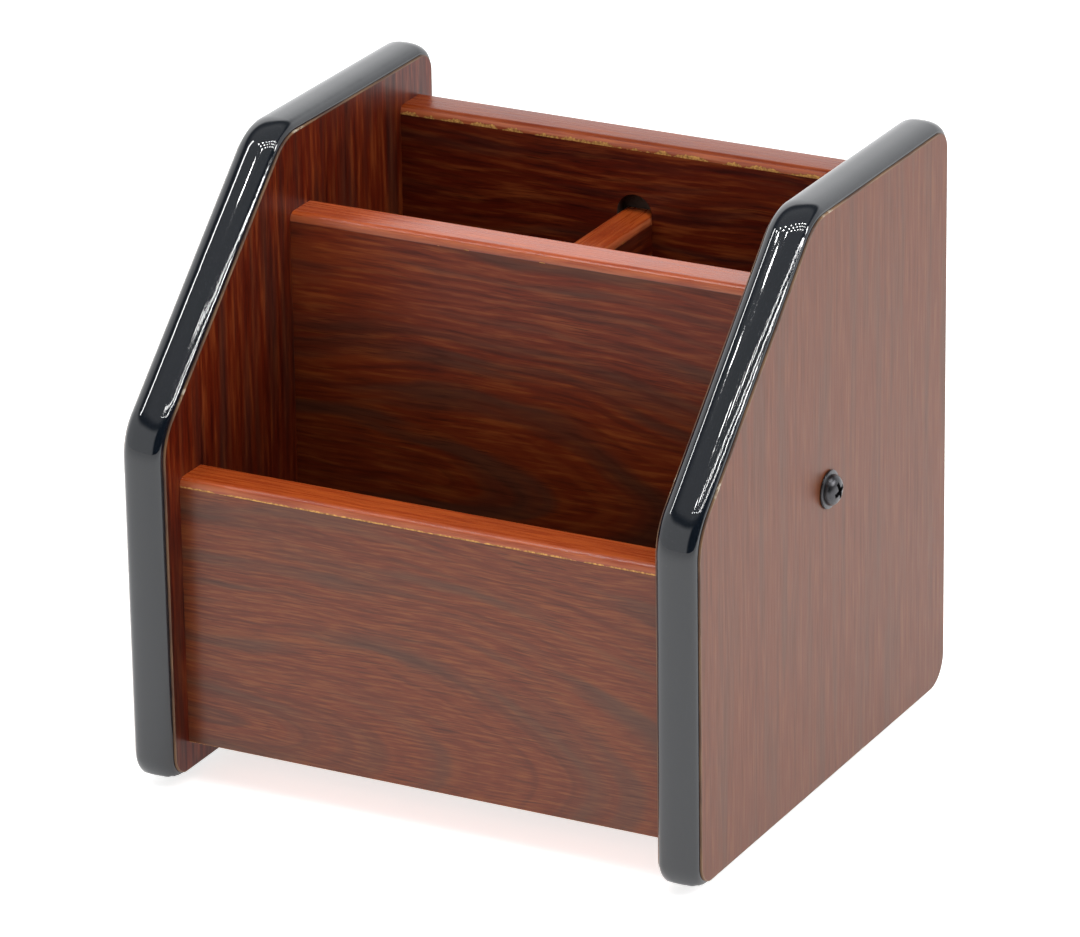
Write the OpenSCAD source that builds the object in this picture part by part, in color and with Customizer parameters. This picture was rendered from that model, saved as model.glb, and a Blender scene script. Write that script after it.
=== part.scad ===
// Desk organizer on a small ball-bearing turntable. Three laminated cross boards, a
// divider and a floor stand between two side boards with lacquered, crowned edges.
// X runs across the organizer, Y from front to rear, Z up. The origin lies on the
// table, under the middle of the organizer.

/* [Organizer] */
// Width over the side boards, without the screw heads
organizer_w = 120; // [112:1:150]
// Depth over the lacquered edges of the side boards
organizer_d = 110; // [106:1:130]
// Height of the side boards
side_h = 115.5; // [112:0.5:125]
// Height of the lower knee of the side boards
knee_h = 68.5; // [62:0.5:74]
// Slope of the slanted edge above level
slant = 43; // [40:0.5:50]
// Gap between the side boards and the table
side_gap = 2.5; // [2:0.5:4]

/* [Boards] */
// Thickness of the side boards, cross boards and floor
board_t = 9; // [8:0.5:10]
// Thickness of the divider
divider_t = 7.5; // [6:0.5:9]
// Thickness of the wood-pattern laminate on each face
skin_t = 0.4; // [0.3:0.1:0.6]
// How far the lacquered edge bulges past the laminate
crown = 2; // [1:0.25:2.5]
// Front face of the front board behind the front of the side boards
front_setback = 7; // [5:0.5:10]
// Rear face of the back board ahead of the rear of the side boards
back_setback = 6; // [5:0.5:10]
// Lower edge of the front and back boards above the foot of the side boards
cross_lift = 5.7; // [4:0.1:8]
// Top of the front board above the foot of the side boards
front_top_h = 59.5; // [50:0.5:64]
// Top of the middle board
middle_top_h = 98; // [94:0.5:100]
// Top of the back board
back_top_h = 106; // [100:0.5:110]
// Top of the divider
divider_top_h = 91.5; // [80:0.5:93]
// Depth of the grooves that hold the divider
groove_depth = 3; // [2:0.5:4]

/* [Fasteners] */
// Radius of the wooden dowels
dowel_r = 2.5; // [2:0.25:3]
// Radius of the shank of the side screws
side_screw_r = 2; // [1.5:0.25:2.25]
// Radius of the head of the side screws
side_screw_head_r = 3.75; // [3.25:0.25:4.5]
// Height of the side screws above the foot of the side boards
side_screw_h = 59; // [54:0.5:64]

/* [Turntable] */
// Radius of the foot disc
foot_r = 32; // [30:0.5:34]
// Thickness of the foot disc
foot_t = 4; // [4:0.5:5]
// Height of the rubber pads
pad_h = 1.5; // [1:0.25:2]
// Radius of the rubber pads
pad_r = 4.5; // [3.5:0.5:5]
// Side of the square bearing plates
plate_w = 42; // [40:1:44]
// Sheet thickness of the bearing plates
plate_t = 0.8; // [0.6:0.1:1]
// Radius of the bearing balls
ball_r = 1.75; // [1.5:0.05:1.8]
// Number of bearing balls
ball_count = 12; // [8:1:16]

/* [Hidden] */

round_fn = 64;
small_fn = 32;
overcut = 1;

// Side boards
half_w = organizer_w / 2;
inner_x = half_w - board_t;
core_half = board_t / 2 - skin_t;
lam_y = organizer_d / 2 - crown;
lam_top = side_h - crown;
upper_knee_y = -lam_y + (lam_top - knee_h) / tan(slant);
knee_r = 11;
front_foot_r = 4;
rear_foot_r = 6;
rear_top_r = 4;
arc_steps = 6;
crown_power = 2.6;
crown_step = 15;

// Corners of the laminate's outline as [y, z, radius, angle of the edge before it]
side_corners = [
    [-lam_y, 0, front_foot_r, 180],
    [lam_y, 0, rear_foot_r, 270],
    [lam_y, lam_top, rear_top_r, 360],
    [upper_knee_y, lam_top, knee_r, 450],
    [-lam_y, knee_h, knee_r, 450 + slant]
];

// Stack of the turntable, upwards from the table
foot_z = pad_h;
base_plate_z = foot_z + foot_t;
bearing_h = 6.7;
floor_z = base_plate_z + bearing_h;
floor_top = floor_z + board_t;

// Cross boards: middle planes and heights above the table
front_mid_y = -organizer_d / 2 + front_setback + board_t / 2;
back_mid_y = organizer_d / 2 - back_setback - board_t / 2;
middle_mid_y = (front_mid_y + back_mid_y) / 2;
cross_bottom = side_gap + cross_lift;
front_top = side_gap + front_top_h;
middle_top = side_gap + middle_top_h;
back_top = side_gap + back_top_h;
divider_top = side_gap + divider_top_h;
floor_front_y = front_mid_y + board_t / 2;
floor_back_y = back_mid_y - board_t / 2;
groove_front_y = middle_mid_y + board_t / 2 - groove_depth;
groove_back_y = floor_back_y + groove_depth;

// Dowels, as [y, z] on the inner face of a side board
dowel_in_side = 5;
dowel_in_board = 10;
dowel_gap = 0.05;
front_dowel_at = [for (z = [20, 48]) [front_mid_y, z]];
middle_dowel_at = [for (z = [36, 86]) [middle_mid_y, z]];
back_dowel_at = [for (z = [25, 90]) [back_mid_y, z]];
floor_dowel_at = [for (y = [-20, 24]) [y, floor_z + board_t / 2]];
all_dowels_at = concat(front_dowel_at, middle_dowel_at, back_dowel_at, floor_dowel_at);

// Side screws
side_screw_at = [middle_mid_y, side_gap + side_screw_h];
side_screw_head_h = 2.5;
side_screw_l = 30;
side_screw_tip = 4;
side_screw_clearance = 0.1;

// Bearing: both plates are the same pressing, face to face, an eighth turn apart
bearing_mid_z = base_plate_z + bearing_h / 2;
race_r = 15;
race_half_w = 2.6;
pressed_h = 2.4;
race_gap = 0.1;
hub_r = 8.5;
plate_corner_r = 4;
plate_hole_inset = 4;
plate_hole_r = 1.4;
pivot_hole_r = 4;
pivot_gap = 0.05;
rivet_head_r = 6;
rivet_head_t = 0.9;
rivet_gap = 0.1;
cage_t = 1;
cage_half_w = 3.2;
cage_pocket_gap = 0.1;

// Screws and feet of the turntable
plate_screw_r = 1.2;
plate_screw_head_r = 2.2;
plate_screw_head_h = 1.2;
top_screw_l = 7;
base_screw_l = 3.6;
plate_screw_tip = 0.8;
screw_circle_r = (plate_w / 2 - plate_hole_inset) * sqrt(2);
access_hole_r = 3;
pad_circle_r = 24.5;
foot_edge_round = 1;

laminate_brown = [0.45, 0.22, 0.17];
edge_orange = [0.62, 0.28, 0.14];
lacquer_black = [0.06, 0.06, 0.08];
dowel_beech = [0.82, 0.68, 0.48];

// ---- Shared shapes ----

function unit(a) = [cos(a), sin(a)];

// Centre of the arc that rounds corner k of the side outline
function corner_centre(k) =
    let (c = side_corners[k], before = unit(c[3]), after = unit(edge_after(k)))
    [c[0], c[1]] - c[2] * (before + after) / (1 + before * after);

// Angle of the outward normal of the edge that follows corner k
function edge_after(k) =
    k + 1 < len(side_corners) ? side_corners[k + 1][3] : side_corners[0][3] + 360;

// Side outline as [y, z], grown by g everywhere but below the foot line
function side_outline(g) = [
    for (k = [0:len(side_corners) - 1], i = [0:arc_steps])
        let (a0 = side_corners[k][3], a = a0 + (edge_after(k) - a0) * i / arc_steps,
             p = corner_centre(k) + (side_corners[k][2] + g) * unit(a))
        [p[0], side_gap + max(p[1], 0)]
];

// Closed solid through rings that have the same number of points
module loft(rings) {
    n = len(rings[0]);
    last = (len(rings) - 1) * n;
    polyhedron(
        points = [for (ring = rings) each ring],
        faces = concat(
            [[for (i = [0:n - 1]) i]],
            [for (k = [0:n:last - n], i = [0:n - 1], half = [0, 1])
                let (j = (i + 1) % n)
                half == 0 ? [k + i, k + n + i, k + n + j] : [k + i, k + n + j, k + j]],
            [[for (i = [n - 1:-1:0]) last + i]]
        )
    );
}

// Upright plate in the Y-Z plane, from x to x + t
module side_plate(x, t) {
    translate([x, 0, 0]) rotate([90, 0, 90]) linear_extrude(t) polygon(side_outline(0));
}

// Cylinder along +X that starts at [x, y, z]
module rod_x(x, at, r, l) {
    translate([x, at[0], at[1]]) rotate([0, 90, 0]) cylinder(r = r, h = l, $fn = small_fn);
}

// Box from one corner to the opposite one
module block(lo, hi) {
    translate(lo) cube(hi - lo);
}

// Pan-head screw along Z with its head above z = 0 and a cross recess
module pan_screw(head_r, head_h, shank_r, l, tip) {
    wall_h = head_h * 0.4;
    recess_w = head_r * 0.28;
    recess_l = head_r * 1.15;
    recess_d = head_h * 0.6;
    difference() {
        rotate_extrude($fn = round_fn) polygon(concat(
            [[0, -l], [shank_r, tip - l], [shank_r, 0], [head_r, 0]],
            [for (a = [0:15:90]) [head_r * cos(a), wall_h + (head_h - wall_h) * sin(a)]]
        ));
        for (turn = [0, 90]) rotate(turn)
            translate([-recess_l / 2, -recess_w / 2, head_h - recess_d])
                cube([recess_l, recess_w, head_h]);
    }
}

// Places its child at the four corners of a square of holes, turned by an angle
module at_plate_holes(turn) {
    for (k = [0:3]) rotate(turn + 45 + 90 * k) translate([screw_circle_r, 0, 0]) children();
}

// ---- Side boards, drawn on the right and mirrored for the left ----

module side_core() {
    color(lacquer_black) difference() {
        loft([for (a = [0:crown_step:180])
            let (c = pow(abs(cos(a)), 2 / crown_power) * sign(cos(a)),
                 g = crown * pow(sin(a), 2 / crown_power),
                 x = half_w - board_t / 2 - core_half * c)
            [for (p = side_outline(g)) [x, p[0], p[1]]]]);
        rod_x(inner_x - overcut, side_screw_at, side_screw_r + side_screw_clearance,
              board_t + 2 * overcut);
        for (at = all_dowels_at) rod_x(inner_x - overcut, at, dowel_r, dowel_in_side + overcut);
    }
}

module side_outer_skin() {
    color(laminate_brown) difference() {
        side_plate(half_w - skin_t, skin_t);
        rod_x(half_w - board_t / 2, side_screw_at, side_screw_r + side_screw_clearance, board_t);
    }
}

module side_inner_skin() {
    color(laminate_brown) difference() {
        side_plate(inner_x, skin_t);
        rod_x(inner_x - overcut, side_screw_at, side_screw_r + side_screw_clearance, board_t);
        for (at = all_dowels_at) rod_x(inner_x - overcut, at, dowel_r, dowel_in_side);
    }
}

module side_screw() {
    color([0.12, 0.12, 0.13]) translate([half_w, side_screw_at[0], side_screw_at[1]])
        rotate([0, 90, 0])
            pan_screw(side_screw_head_r, side_screw_head_h, side_screw_r, side_screw_l, side_screw_tip);
}

module left_side_board() { mirror([1, 0, 0]) side_core(); }
module left_outer_laminate() { mirror([1, 0, 0]) side_outer_skin(); }
module left_inner_laminate() { mirror([1, 0, 0]) side_inner_skin(); }
module right_side_board() { side_core(); }
module right_outer_laminate() { side_outer_skin(); }
module right_inner_laminate() { side_inner_skin(); }
module left_side_screw() { mirror([1, 0, 0]) side_screw(); }
module right_side_screw() { side_screw(); }

// ---- Cross boards ----

// Blind bores for dowels in both ends of a board
module end_bores(positions) {
    for (side = [0, 1], at = positions) mirror([side, 0, 0])
        rod_x(inner_x - dowel_in_board, at, dowel_r, dowel_in_board + overcut);
}

// Core of an upright cross board between its two laminates
module cross_core(mid_y, bottom, top, dowels) {
    color(edge_orange) difference() {
        block([-inner_x, mid_y - core_half, bottom], [inner_x, mid_y + core_half, top]);
        end_bores(dowels);
    }
}

// Laminate of an upright cross board; side is -1 in front and 1 behind
module cross_skin(mid_y, side, bottom, top) {
    y = mid_y + side * (board_t - skin_t) / 2;
    color(laminate_brown)
        block([-inner_x, y - skin_t / 2, bottom], [inner_x, y + skin_t / 2, top]);
}

// Space of the divider's end in its groove, with the half-round stop above it
module divider_groove(y0, y1) {
    block([-divider_t / 2, y0, floor_top], [divider_t / 2, y1, divider_top]);
    translate([0, y0, divider_top]) rotate([-90, 0, 0])
        cylinder(r = divider_t / 2, h = y1 - y0, $fn = round_fn);
}

module front_board() { cross_core(front_mid_y, cross_bottom, front_top, front_dowel_at); }
module front_board_outer_laminate() { cross_skin(front_mid_y, -1, cross_bottom, front_top); }
module front_board_inner_laminate() { cross_skin(front_mid_y, 1, cross_bottom, front_top); }

module middle_board() {
    difference() {
        cross_core(middle_mid_y, floor_top, middle_top, middle_dowel_at);
        divider_groove(groove_front_y, groove_front_y + board_t);
        for (side = [0, 1]) mirror([side, 0, 0])
            rod_x(half_w - side_screw_l, side_screw_at, side_screw_r, side_screw_l);
    }
}

module middle_board_front_laminate() { cross_skin(middle_mid_y, -1, floor_top, middle_top); }

module middle_board_rear_laminate() {
    difference() {
        cross_skin(middle_mid_y, 1, floor_top, middle_top);
        divider_groove(groove_front_y, groove_front_y + board_t);
    }
}

module back_board() {
    difference() {
        cross_core(back_mid_y, cross_bottom, back_top, back_dowel_at);
        divider_groove(groove_back_y - board_t, groove_back_y);
    }
}

module back_board_front_laminate() {
    difference() {
        cross_skin(back_mid_y, -1, cross_bottom, back_top);
        divider_groove(groove_back_y - board_t, groove_back_y);
    }
}

module back_board_rear_laminate() { cross_skin(back_mid_y, 1, cross_bottom, back_top); }

module divider_layer(x0, x1) {
    block([x0, groove_front_y, floor_top], [x1, groove_back_y, divider_top]);
}

module divider() {
    color(edge_orange) divider_layer(skin_t - divider_t / 2, divider_t / 2 - skin_t);
}

module divider_left_laminate() {
    color(laminate_brown) divider_layer(-divider_t / 2, skin_t - divider_t / 2);
}

module divider_right_laminate() {
    color(laminate_brown) divider_layer(divider_t / 2 - skin_t, divider_t / 2);
}

// ---- Floor ----

module floor_layer(z0, z1) {
    block([-inner_x, floor_front_y, z0], [inner_x, floor_back_y, z1]);
}

module floor_board() {
    color(edge_orange) difference() {
        floor_layer(floor_z + skin_t, floor_top - skin_t);
        end_bores(floor_dowel_at);
        at_plate_holes(0) translate([0, 0, floor_z - overcut])
            cylinder(r = plate_screw_r, h = top_screw_l + overcut, $fn = small_fn);
    }
}

module floor_top_laminate() { color(laminate_brown) floor_layer(floor_top - skin_t, floor_top); }

module floor_bottom_laminate() {
    color(laminate_brown) difference() {
        floor_layer(floor_z, floor_z + skin_t);
        at_plate_holes(0) translate([0, 0, floor_z - overcut])
            cylinder(r = plate_screw_r, h = 2 * overcut, $fn = small_fn);
    }
}

// ---- Dowels ----

module dowel_pairs(positions) {
    color(dowel_beech) for (side = [0, 1], at = positions) mirror([side, 0, 0])
        rod_x(inner_x - dowel_in_board, at, dowel_r - dowel_gap, dowel_in_board + dowel_in_side);
}

module front_dowels() { dowel_pairs(front_dowel_at); }
module middle_dowels() { dowel_pairs(middle_dowel_at); }
module back_dowels() { dowel_pairs(back_dowel_at); }
module floor_dowels() { dowel_pairs(floor_dowel_at); }

// ---- Turntable ----

// Pressed plate with its flange on z = 0 and its race and hub raised above it
module bearing_plate() {
    ball_z = bearing_h / 2;
    difference() {
        union() {
            linear_extrude(plate_t) difference() {
                rounded_square(plate_w, plate_corner_r);
                circle(r = hub_r - plate_t, $fn = round_fn);
                difference() {
                    circle(r = race_r + race_half_w - plate_t, $fn = round_fn);
                    circle(r = race_r - race_half_w + plate_t, $fn = round_fn);
                }
            }
            rotate_extrude($fn = round_fn) union() {
                translate([pivot_hole_r, pressed_h - plate_t])
                    square([hub_r - pivot_hole_r, plate_t]);
                translate([hub_r - plate_t, 0]) square([plate_t, pressed_h]);
                difference() {
                    translate([race_r - race_half_w, 0]) square([2 * race_half_w, pressed_h]);
                    translate([race_r - race_half_w + plate_t, -overcut])
                        square([2 * (race_half_w - plate_t), overcut + plate_t / 2]);
                    translate([race_r, ball_z]) circle(r = ball_r + race_gap, $fn = small_fn);
                }
            }
        }
        at_plate_holes(0) translate([0, 0, -overcut])
            cylinder(r = plate_hole_r, h = plate_t + 2 * overcut, $fn = small_fn);
    }
}

// Square of side w with corners of radius r, centred on the origin
module rounded_square(w, r) {
    square([w, w - 2 * r], center = true);
    square([w - 2 * r, w], center = true);
    for (x = [-1, 1], y = [-1, 1])
        translate([x, y] * (w / 2 - r)) circle(r = r, $fn = small_fn);
}

module swivel_top_plate() {
    color([0.7, 0.71, 0.73]) translate([0, 0, floor_z]) mirror([0, 0, 1]) bearing_plate();
}

module swivel_base_plate() {
    color([0.66, 0.67, 0.7]) translate([0, 0, base_plate_z]) rotate(45) bearing_plate();
}

module pivot_rivet() {
    head_low = base_plate_z + pressed_h - plate_t - rivet_head_t;
    shank_low = base_plate_z + pressed_h - plate_t;
    shank_high = floor_z - pressed_h + plate_t + rivet_gap;
    bore_r = 2.5;
    color([0.75, 0.75, 0.76]) difference() {
        union() {
            translate([0, 0, head_low]) cylinder(r = rivet_head_r, h = rivet_head_t, $fn = round_fn);
            translate([0, 0, shank_low])
                cylinder(r = pivot_hole_r - pivot_gap, h = shank_high - shank_low, $fn = round_fn);
            translate([0, 0, shank_high])
                cylinder(r = rivet_head_r, h = rivet_head_t, $fn = round_fn);
        }
        translate([0, 0, head_low - overcut])
            cylinder(r = bore_r, h = bearing_h + 2 * overcut, $fn = round_fn);
    }
}

// Places its child at each ball of the bearing
module at_balls() {
    for (k = [0:ball_count - 1]) rotate(360 * k / ball_count)
        translate([race_r, 0, bearing_mid_z]) children();
}

module ball_cage() {
    color([0.85, 0.85, 0.8]) difference() {
        translate([0, 0, bearing_mid_z - cage_t / 2]) difference() {
            cylinder(r = race_r + cage_half_w, h = cage_t, $fn = round_fn);
            translate([0, 0, -overcut])
                cylinder(r = race_r - cage_half_w, h = cage_t + 2 * overcut, $fn = round_fn);
        }
        at_balls() cylinder(r = ball_r + cage_pocket_gap, h = 2 * cage_t, center = true, $fn = small_fn);
    }
}

module bearing_balls() { color([0.85, 0.86, 0.88]) at_balls() sphere(r = ball_r, $fn = small_fn); }

module top_plate_screws() {
    color([0.72, 0.72, 0.74]) translate([0, 0, floor_z - plate_t]) mirror([0, 0, 1])
        at_plate_holes(0) pan_screw(plate_screw_head_r, plate_screw_head_h, plate_screw_r,
                                    top_screw_l + plate_t, plate_screw_tip);
}

module base_plate_screws() {
    color([0.72, 0.72, 0.74]) translate([0, 0, base_plate_z + plate_t])
        at_plate_holes(45) pan_screw(plate_screw_head_r, plate_screw_head_h, plate_screw_r,
                                     base_screw_l + plate_t, plate_screw_tip);
}

module foot_disc() {
    color([0.1, 0.1, 0.1]) translate([0, 0, foot_z]) difference() {
        rotate_extrude($fn = round_fn) polygon([
            [0, 0], [foot_r - foot_edge_round, 0], [foot_r, foot_edge_round],
            [foot_r, foot_t - foot_edge_round], [foot_r - foot_edge_round, foot_t], [0, foot_t]
        ]);
        rotate(45) translate([screw_circle_r, 0, -overcut])
            cylinder(r = access_hole_r, h = foot_t + 2 * overcut, $fn = small_fn);
        at_plate_holes(45) translate([0, 0, foot_t - base_screw_l])
            cylinder(r = plate_screw_r, h = foot_t, $fn = small_fn);
    }
}

module foot_pads() {
    color([0.15, 0.15, 0.15]) for (k = [0:3]) rotate(90 * k)
        translate([pad_circle_r, 0, 0]) cylinder(r = pad_r, h = pad_h, $fn = round_fn);
}

left_side_board();
left_outer_laminate();
left_inner_laminate();
right_side_board();
right_outer_laminate();
right_inner_laminate();
front_board();
front_board_outer_laminate();
front_board_inner_laminate();
middle_board();
middle_board_front_laminate();
middle_board_rear_laminate();
back_board();
back_board_front_laminate();
back_board_rear_laminate();
divider();
divider_left_laminate();
divider_right_laminate();
floor_board();
floor_top_laminate();
floor_bottom_laminate();
left_side_screw();
right_side_screw();
front_dowels();
middle_dowels();
back_dowels();
floor_dowels();
swivel_top_plate();
top_plate_screws();
ball_cage();
bearing_balls();
swivel_base_plate();
pivot_rivet();
base_plate_screws();
foot_disc();
foot_pads();
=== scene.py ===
"""Looks of a laminated desk organizer that turns on a ball-bearing foot.

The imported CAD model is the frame. Every visible CAD node is replaced by a finer mesh piece
in the same place, or keeps its mesh and gets a procedural material. Lengths are in metres;
MM turns the named millimetre sizes into metres.
"""

import math

import bmesh
import bpy
from mathutils import Matrix, Vector


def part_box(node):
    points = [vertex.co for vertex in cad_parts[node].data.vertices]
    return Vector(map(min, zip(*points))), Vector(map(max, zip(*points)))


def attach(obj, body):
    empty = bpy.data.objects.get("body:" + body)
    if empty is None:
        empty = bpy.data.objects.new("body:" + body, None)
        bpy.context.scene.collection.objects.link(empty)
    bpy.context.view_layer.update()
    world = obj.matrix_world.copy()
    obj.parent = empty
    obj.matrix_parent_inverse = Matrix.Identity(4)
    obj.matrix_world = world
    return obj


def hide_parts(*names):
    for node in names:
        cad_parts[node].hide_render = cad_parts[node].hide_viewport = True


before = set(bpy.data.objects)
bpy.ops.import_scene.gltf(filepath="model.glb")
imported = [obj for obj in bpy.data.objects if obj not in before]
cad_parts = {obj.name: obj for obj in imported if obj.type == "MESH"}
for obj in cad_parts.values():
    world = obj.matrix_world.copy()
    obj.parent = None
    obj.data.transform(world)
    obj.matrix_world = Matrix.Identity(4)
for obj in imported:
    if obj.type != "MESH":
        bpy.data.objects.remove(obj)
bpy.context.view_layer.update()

MM = 0.001

# ---- Sizes shared with the CAD model ------------------------------------------------

SKIN = 0.4 * MM
CROWN = 2.0 * MM
KNEE_HEIGHT = 68.5 * MM
SLANT = math.radians(43)
KNEE_RADIUS = 11 * MM
FRONT_FOOT_RADIUS = 4 * MM
REAR_FOOT_RADIUS = 6 * MM
REAR_TOP_RADIUS = 4 * MM
SIDE_SCREW_SHANK_R = 2.0 * MM
PLATE_SCREW_HEAD_R = 2.2 * MM
ACCESS_HOLE_R = 3.0 * MM
PAD_R = 4.5 * MM

# ---- Finishing sizes that only the looks have ---------------------------------------

CROWN_POWER = 2.3  # of the superellipse that the lacquered edge is crowned to
ROUND_OVER = 1.5 * MM
RIM_WIDTH = 0.28 * MM
FINE_BEVEL = 0.1 * MM
SHOWN_SHANK = 30 * MM
ARC_STEPS = 14
SHARP_ANGLE = 35
SCREW_SHARP_ANGLE = 30
EDGE_STEP = 3 * MM


# ---- Mesh helpers ---------------------------------------------------------------------


def add_piece(name, bm, materials, body, replaced=(), sharp=SHARP_ANGLE):
    """Turns a bmesh into a shaded object that rides on a body and stands for CAD nodes."""
    bmesh.ops.remove_doubles(bm, verts=bm.verts, dist=1e-7)
    bmesh.ops.recalc_face_normals(bm, faces=bm.faces)
    mesh = bpy.data.meshes.new(name)
    bm.to_mesh(mesh)
    bm.free()
    for material in materials:
        mesh.materials.append(material)
    mesh.polygons.foreach_set("use_smooth", [True] * len(mesh.polygons))
    mesh.set_sharp_from_angle(angle=math.radians(sharp))
    piece = bpy.data.objects.new(name, mesh)
    bpy.context.scene.collection.objects.link(piece)
    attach(piece, body)
    if replaced:
        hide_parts(*replaced)
    return piece


def loft(bm, rings, band_material=0):
    """Joins rings of points into a closed tube with a flat face of material 0 on each end."""
    verts = [[bm.verts.new(p) for p in ring] for ring in rings]
    n = len(rings[0])
    for k in range(len(verts) - 1):
        for i in range(n):
            j = (i + 1) % n
            quad = [verts[k][i], verts[k][j], verts[k + 1][j], verts[k + 1][i]]
            bm.faces.new(quad).material_index = band_material
    bm.faces.new(verts[0])
    bm.faces.new(verts[-1])
    return bm


def revolve(bm, profile, steps=64):
    """Turns a profile of (radius, height) points about Z. It starts and ends on the axis."""
    rings = []
    for k in range(steps):
        a = 2 * math.pi * k / steps
        rings.append([bm.verts.new((r * math.cos(a), r * math.sin(a), z)) for r, z in profile])
    for k in range(steps):
        for i in range(len(profile) - 1):
            a, b = rings[k], rings[(k + 1) % steps]
            bm.faces.new([a[i], b[i], b[i + 1], a[i + 1]])
    bmesh.ops.remove_doubles(bm, verts=bm.verts, dist=1e-7)
    bmesh.ops.dissolve_degenerate(bm, edges=bm.edges, dist=1e-7)
    return bm


def fillet(profile, radii, steps=5):
    """Rounds the corners of an open profile; radii maps a point's number to its radius."""
    out = []
    for k, point in enumerate(profile):
        r = radii.get(k, 0)
        p = Vector(point)
        if not r:
            out.append(tuple(p))
            continue
        a = (Vector(profile[k - 1]) - p).normalized()
        b = (Vector(profile[k + 1]) - p).normalized()
        reach = r / math.tan(a.angle(b) / 2)
        start, end = p + a * reach, p + b * reach
        for i in range(steps + 1):
            t = i / steps
            out.append(tuple(start.lerp(p, t).lerp(p.lerp(end, t), t)))
    return out


def box_mesh(bm, lo, hi):
    """A plain box between two corners, for cutters."""
    size = Vector(hi) - Vector(lo)
    middle = (Vector(hi) + Vector(lo)) / 2
    bmesh.ops.create_cube(bm, size=1, matrix=Matrix.Translation(middle) @ Matrix.Diagonal((*size, 1)))


def cut(piece, cutter_bm, material=None):
    """Cuts a bmesh out of a piece with an exact boolean, and frees the cutter."""
    mesh = bpy.data.meshes.new("cutter")
    bmesh.ops.recalc_face_normals(cutter_bm, faces=cutter_bm.faces)
    cutter_bm.to_mesh(mesh)
    cutter_bm.free()
    if material is not None:
        mesh.materials.append(material)
    cutter = bpy.data.objects.new("cutter", mesh)
    bpy.context.scene.collection.objects.link(cutter)
    modifier = piece.modifiers.new("cut", "BOOLEAN")
    modifier.operation = "DIFFERENCE"
    modifier.solver = "EXACT"
    modifier.material_mode = "TRANSFER" if material is not None else "INDEX"
    modifier.object = cutter
    bpy.context.view_layer.update()
    depsgraph = bpy.context.evaluated_depsgraph_get()
    result = bpy.data.meshes.new_from_object(piece.evaluated_get(depsgraph))
    result.set_sharp_from_angle(angle=math.radians(SHARP_ANGLE))
    piece.modifiers.clear()
    piece.data = result
    bpy.data.objects.remove(cutter)


# ---- Material helpers -----------------------------------------------------------------


class Graph:
    """A material's node tree, written as nested calls: a value that is a socket is linked."""

    def __init__(self, name):
        self.material = bpy.data.materials.new(name)
        self.material.use_nodes = True
        self.tree = self.material.node_tree
        self.tree.nodes.clear()

    def node(self, kind, inputs=(), **properties):
        made = self.tree.nodes.new(kind)
        for key, value in properties.items():
            setattr(made, key, value)
        for key, value in dict(inputs).items():
            if isinstance(value, bpy.types.NodeSocket):
                self.tree.links.new(value, made.inputs[key])
            else:
                made.inputs[key].default_value = value
        return made

    def math(self, operation, a, b=0.0, clamp=False):
        made = self.node("ShaderNodeMath", {0: a, 1: b}, operation=operation, use_clamp=clamp)
        return made.outputs[0]

    def spread(self, value, low, high, to_low=0.0, to_high=1.0):
        """Maps low..high onto to_low..to_high, held at both ends."""
        inputs = {"Value": value, "From Min": low, "From Max": high}
        inputs.update({"To Min": to_low, "To Max": to_high})
        return self.node("ShaderNodeMapRange", inputs).outputs["Result"]

    def mix(self, factor, a, b, blend="MIX"):
        made = self.node("ShaderNodeMix", {"Factor": factor}, data_type="RGBA", blend_type=blend)
        for key, value in (("A", a), ("B", b)):
            socket = next(s for s in made.inputs if s.name == key and s.type == "RGBA")
            if isinstance(value, bpy.types.NodeSocket):
                self.tree.links.new(value, socket)
            else:
                socket.default_value = (*value, 1)
        return next(s for s in made.outputs if s.type == "RGBA")

    def position(self):
        """The point on the object as separate x, y and z in millimetres."""
        place = self.node("ShaderNodeTexCoord").outputs["Object"]
        scaled = self.node("ShaderNodeVectorMath", {0: place, 1: (1 / MM,) * 3}, operation="MULTIPLY")
        return self.node("ShaderNodeSeparateXYZ", {0: scaled.outputs[0]}).outputs

    def noise(self, x, y, z, detail=2.0, roughness=0.5):
        where = self.node("ShaderNodeCombineXYZ", {0: x, 1: y, 2: z}).outputs[0]
        inputs = {"Vector": where, "Scale": 1.0, "Detail": detail, "Roughness": roughness}
        return self.node("ShaderNodeTexNoise", inputs).outputs["Fac"]

    def speckle(self, scale, detail=2.0, roughness=0.5):
        """Even noise with about scale spots to the millimetre."""
        spots = [self.math("MULTIPLY", c, scale) for c in self.position()]
        return self.noise(*spots, detail, roughness)

    def bump(self, height, distance, strength=1.0, normal=None):
        inputs = {"Height": height, "Distance": distance, "Strength": strength}
        if normal is not None:
            inputs["Normal"] = normal
        return self.node("ShaderNodeBump", inputs).outputs["Normal"]

    def finish(self, inputs):
        shader = self.node("ShaderNodeBsdfPrincipled", inputs)
        self.node("ShaderNodeOutputMaterial", {"Surface": shader.outputs[0]})
        return self.material


# ---- Materials --------------------------------------------------------------------------

ROSEWOOD_RED = (0.142, 0.0225, 0.0066)
ROSEWOOD_ORANGE = (0.255, 0.0720, 0.0200)
ROSEWOOD_DARK = (0.038, 0.0080, 0.0044)
ROSEWOOD_GREY = (0.068, 0.0330, 0.0235)
ROSEWOOD_MEAN = (0.150, 0.0350, 0.0110)

DUST_CELLS = 55.0  # to the metre

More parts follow.
